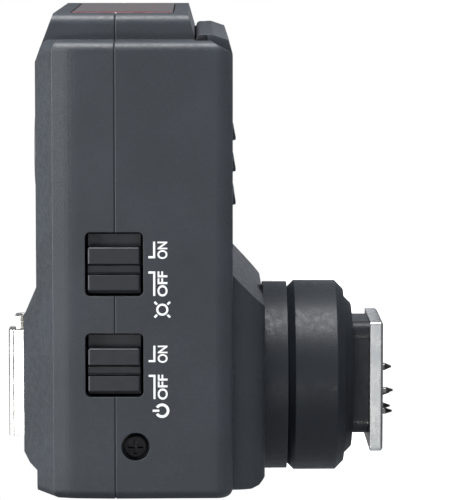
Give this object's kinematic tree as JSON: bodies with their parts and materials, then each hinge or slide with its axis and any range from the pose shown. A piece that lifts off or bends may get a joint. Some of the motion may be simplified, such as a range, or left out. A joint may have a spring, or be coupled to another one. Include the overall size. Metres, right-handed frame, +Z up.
{
  "type": "wireless flash trigger",
  "caption": "Shoe-mounted radio flash trigger: rounded box housing with roof shoe, display panel, keys and dial, side slide switches, battery door and screw-down clamp foot.",
  "frame": {"origin": "centre of the foot plate's underside, where it rests on a camera's shoe floor; the spring contacts reach below it", "axes": "+Z up out of the shoe, -Y forward towards the subject (the way the foot slides into the shoe), -X is the side with the two slide switches"},
  "size_m": [0.07, 0.0731, 0.06],
  "materials": {
    "cell_can": "printed sleeve",
    "circuit": "solder mask",
    "dark_screw": "black oxide",
    "dark_steel": "blackened",
    "dial_plastic": "satin",
    "display_glass": "polished",
    "door_plastic": "fine spark-eroded texture",
    "emitter_clear": "clear red dome",
    "gold": "gold plated contact",
    "housing_plastic": "fine spark-eroded texture",
    "inner_plastic": "moulded",
    "insulator": "moulded",
    "key_rubber": "satin silicone keys",
    "knob_plastic": "satin",
    "lamp": "light pipe",
    "lcd": "liquid-crystal glass",
    "light_guide": "white diffuser",
    "nickel": "nickel plated",
    "panel_plastic": "smooth dark panel",
    "pin_nickel": "plated spring contact",
    "red_window": "dark red filter, polished",
    "ring_plastic": "fine texture",
    "spring_steel": "spring wire",
    "steel": "stamped"
  },
  "bodies": {
    "housing": {"af_board": "circuit", "af_emitters": "emitter_clear", "af_switch_body": "inner_plastic", "af_window": "red_window", "battery_cells": "cell_can", "battery_plates": "nickel", "battery_springs": "spring_steel", "battery_tray": "inner_plastic", "button_switches": "inner_plastic", "chassis": "inner_plastic", "collar_screws": "steel", "dial_encoder": "inner_plastic", "display_window": "display_glass", "foot_insert": "insulator", "foot_neck": "ring_plastic", "foot_plate": "nickel", "foot_screws": "nickel", "hot_shoe_block": "insulator", "hot_shoe_contacts": "gold", "hot_shoe_rail": "nickel", "hot_shoe_screws": "nickel", "hot_shoe_spring": "spring_steel", "lcd_backlight": "light_guide", "lcd_panel": "lcd", "lower_shell": "housing_plastic", "main_board": "circuit", "power_switch_body": "inner_plastic", "radio_module": "steel", "ring_clip": "spring_steel", "side_screws": "dark_screw", "status_lamp": "lamp", "sync_jack": "inner_plastic", "top_panel": "panel_plastic", "turret_collar": "ring_plastic", "upper_shell": "housing_plastic", "usb_port": "steel"},
    "af_switch_knob": {"af_switch_knob": "knob_plastic"},
    "power_switch_knob": {"power_switch_knob": "knob_plastic"},
    "group_button_a": {"group_button_a": "key_rubber"},
    "group_button_b": {"group_button_b": "key_rubber"},
    "group_button_c": {"group_button_c": "key_rubber"},
    "group_button_d": {"group_button_d": "key_rubber"},
    "group_button_e": {"group_button_e": "key_rubber"},
    "menu_button": {"menu_button": "key_rubber"},
    "mode_button": {"mode_button": "key_rubber"},
    "sync_button": {"sync_button": "key_rubber"},
    "test_button": {"test_button": "key_rubber"},
    "zoom_button": {"zoom_button": "key_rubber"},
    "select_dial": {"select_dial": "dial_plastic"},
    "set_button": {"set_button": "key_rubber"},
    "door_hinge": {"door_arms": "dark_steel", "door_hinge_pin": "dark_steel"},
    "battery_door": {"battery_door": "door_plastic"},
    "lock_ring": {"lock_ring": "ring_plastic"},
    "clamp_disc": {"clamp_disc": "ring_plastic"},
    "contact_pin_centre": {"contact_pin_centre": "pin_nickel"},
    "contact_pin_left": {"contact_pin_left": "pin_nickel"},
    "contact_pin_rear_left": {"contact_pin_rear_left": "pin_nickel"},
    "contact_pin_rear_right": {"contact_pin_rear_right": "pin_nickel"},
    "contact_pin_right": {"contact_pin_right": "pin_nickel"}
  },
  "joints": [
    {"name": "af_switch_slide", "type": "slide", "parent": "housing", "child": "af_switch_knob", "axis": [0, -1, 0], "range_m": [0, 0.002]},
    {"name": "power_switch_slide", "type": "slide", "parent": "housing", "child": "power_switch_knob", "axis": [0, -1, 0], "range_m": [0, 0.002]},
    {"name": "group_button_a_press", "type": "slide", "parent": "housing", "child": "group_button_a", "axis": [0, 0, -1], "range_m": [0, 0.0004], "stiffness_N_per_m": 600, "springref_m": -0.0004},
    {"name": "group_button_b_press", "type": "slide", "parent": "housing", "child": "group_button_b", "axis": [0, 0, -1], "range_m": [0, 0.0004], "stiffness_N_per_m": 600, "springref_m": -0.0004},
    {"name": "group_button_c_press", "type": "slide", "parent": "housing", "child": "group_button_c", "axis": [0, 0, -1], "range_m": [0, 0.0004], "stiffness_N_per_m": 600, "springref_m": -0.0004},
    {"name": "group_button_d_press", "type": "slide", "parent": "housing", "child": "group_button_d", "axis": [0, 0, -1], "range_m": [0, 0.0004], "stiffness_N_per_m": 600, "springref_m": -0.0004},
    {"name": "group_button_e_press", "type": "slide", "parent": "housing", "child": "group_button_e", "axis": [0, 0, -1], "range_m": [0, 0.0004], "stiffness_N_per_m": 600, "springref_m": -0.0004},
    {"name": "menu_button_press", "type": "slide", "parent": "housing", "child": "menu_button", "axis": [0, 0, -1], "range_m": [0, 0.0004], "stiffness_N_per_m": 600, "springref_m": -0.0004},
    {"name": "mode_button_press", "type": "slide", "parent": "housing", "child": "mode_button", "axis": [0, 0, -1], "range_m": [0, 0.0004], "stiffness_N_per_m": 600, "springref_m": -0.0004},
    {"name": "sync_button_press", "type": "slide", "parent": "housing", "child": "sync_button", "axis": [0, 0, -1], "range_m": [0, 0.0004], "stiffness_N_per_m": 600, "springref_m": -0.0004},
    {"name": "test_button_press", "type": "slide", "parent": "housing", "child": "test_button", "axis": [0, 0, -1], "range_m": [0, 0.0004], "stiffness_N_per_m": 600, "springref_m": -0.0004},
    {"name": "zoom_button_press", "type": "slide", "parent": "housing", "child": "zoom_button", "axis": [0, 0, -1], "range_m": [0, 0.0004], "stiffness_N_per_m": 600, "springref_m": -0.0004},
    {"name": "select_dial_turn", "type": "hinge", "parent": "housing", "child": "select_dial", "pos_m": [-0.0192, -0.038, 0.0515], "axis": [0, 0, 1], "continuous": true},
    {"name": "set_button_press", "type": "slide", "parent": "housing", "child": "set_button", "axis": [0, 0, -1], "range_m": [0, 0.0004], "stiffness_N_per_m": 600, "springref_m": -0.0004},
    {"name": "battery_door_slide", "type": "slide", "parent": "housing", "child": "door_hinge", "axis": [0, -1, 0], "range_m": [0, 0.0035]},
    {"name": "battery_door_swing", "type": "hinge", "parent": "door_hinge", "child": "battery_door", "pos_m": [0, -0.05495, 0.02835], "axis": [-1, 0, 0], "range_deg": [0, 90]},
    {"name": "lock_ring_turn", "type": "hinge", "parent": "housing", "child": "lock_ring", "pos_m": [0, -0.00065, 0.0109], "axis": [0, 0, -1], "range_deg": [0, 360]},
    {"name": "clamp_disc_slide", "type": "slide", "parent": "housing", "child": "clamp_disc", "axis": [0, 0, -1], "range_m": [0, 0.0015]},
    {"name": "contact_pin_centre_press", "type": "slide", "parent": "housing", "child": "contact_pin_centre", "axis": [0, 0, 1], "range_m": [0, 0.001], "stiffness_N_per_m": 300, "springref_m": -0.0006},
    {"name": "contact_pin_left_press", "type": "slide", "parent": "housing", "child": "contact_pin_left", "axis": [0, 0, 1], "range_m": [0, 0.001], "stiffness_N_per_m": 300, "springref_m": -0.0006},
    {"name": "contact_pin_rear_left_press", "type": "slide", "parent": "housing", "child": "contact_pin_rear_left", "axis": [0, 0, 1], "range_m": [0, 0.001], "stiffness_N_per_m": 300, "springref_m": -0.0006},
    {"name": "contact_pin_rear_right_press", "type": "slide", "parent": "housing", "child": "contact_pin_rear_right", "axis": [0, 0, 1], "range_m": [0, 0.001], "stiffness_N_per_m": 300, "springref_m": -0.0006},
    {"name": "contact_pin_right_press", "type": "slide", "parent": "housing", "child": "contact_pin_right", "axis": [0, 0, 1], "range_m": [0, 0.001], "stiffness_N_per_m": 300, "springref_m": -0.0006}
  ],
  "couplings": [
    {"joint": "clamp_disc_slide", "follows": "lock_ring_turn", "m_per_rad": 0.000238}
  ]
}
